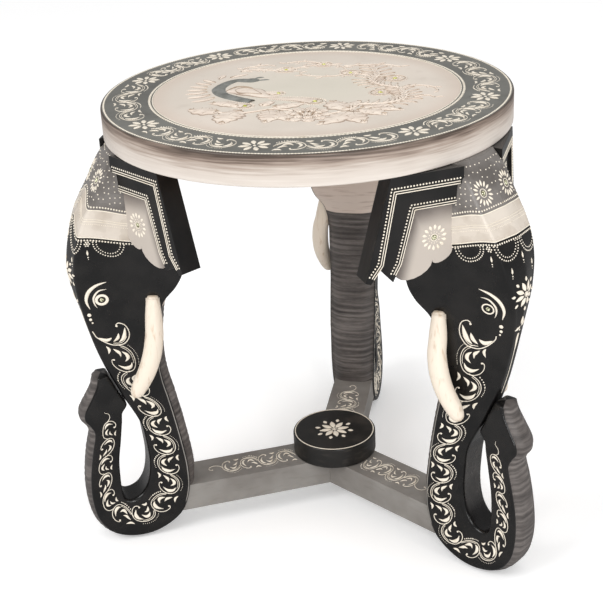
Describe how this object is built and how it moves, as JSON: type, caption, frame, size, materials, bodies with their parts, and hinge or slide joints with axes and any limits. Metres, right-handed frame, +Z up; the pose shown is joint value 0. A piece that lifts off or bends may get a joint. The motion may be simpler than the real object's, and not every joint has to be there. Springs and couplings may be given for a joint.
{
  "type": "side table",
  "caption": "Round side table with a painted relief top on carved elephant-head legs joined by a low three-armed stretcher.",
  "frame": {"origin": "on the floor, under the middle of the table's bounding box; the legs' axis stands 33 mm from it along -Y, and the round top's axis 4 mm to -X of that", "axes": "+Z up, square to the painted top; +Y along the back leg; +X to the right of the front view, which looks along +Y"},
  "size_m": [0.4752, 0.4724, 0.4644],
  "materials": {
    "painted_top": "cream and dark grey emboss painting with satin lacquer",
    "painted_leg": "black emboss-painted carved wood with gloss lacquer",
    "painted_ear": "black and cream emboss-painted wood with gloss lacquer",
    "ivory_paint": "ivory-coloured paint, satin",
    "painted_arm": "taupe-grey paint with cream scrolls, satin",
    "painted_hub": "black paint with a cream flower, gloss",
    "plug_wood": "wood plug under the top's paint",
    "dowel_wood": "plain beech",
    "screw_steel": "zinc-plated",
    "yellow_glass": "polished foil-backed glass",
    "clear_glass": "polished foil-backed glass"
  },
  "bodies": {
    "root": {"table_top": "painted_top", "top_plugs": "plug_wood", "top_screws": "screw_steel", "top_dowels": "dowel_wood", "leg_front_left": "painted_leg", "leg_front_right": "painted_leg", "leg_back": "painted_leg", "ear_front_left_a": "painted_ear", "ear_front_left_b": "painted_ear", "ear_front_right_a": "painted_ear", "ear_front_right_b": "painted_ear", "ear_back_a": "painted_ear", "ear_back_b": "painted_ear", "ear_dowels": "dowel_wood", "tusk_front_left_a": "ivory_paint", "tusk_front_left_b": "ivory_paint", "tusk_front_right_a": "ivory_paint", "tusk_front_right_b": "ivory_paint", "tusk_back_a": "ivory_paint", "tusk_back_b": "ivory_paint", "arm_front_left": "painted_arm", "arm_front_right": "painted_arm", "arm_back": "painted_arm", "arm_dowels": "dowel_wood", "hub_disc": "painted_hub", "hub_screws": "screw_steel", "top_gems": "yellow_glass", "cap_gems": "clear_glass", "ear_gems": "clear_glass", "eye_gems": "clear_glass"}
  },
  "joints": []
}
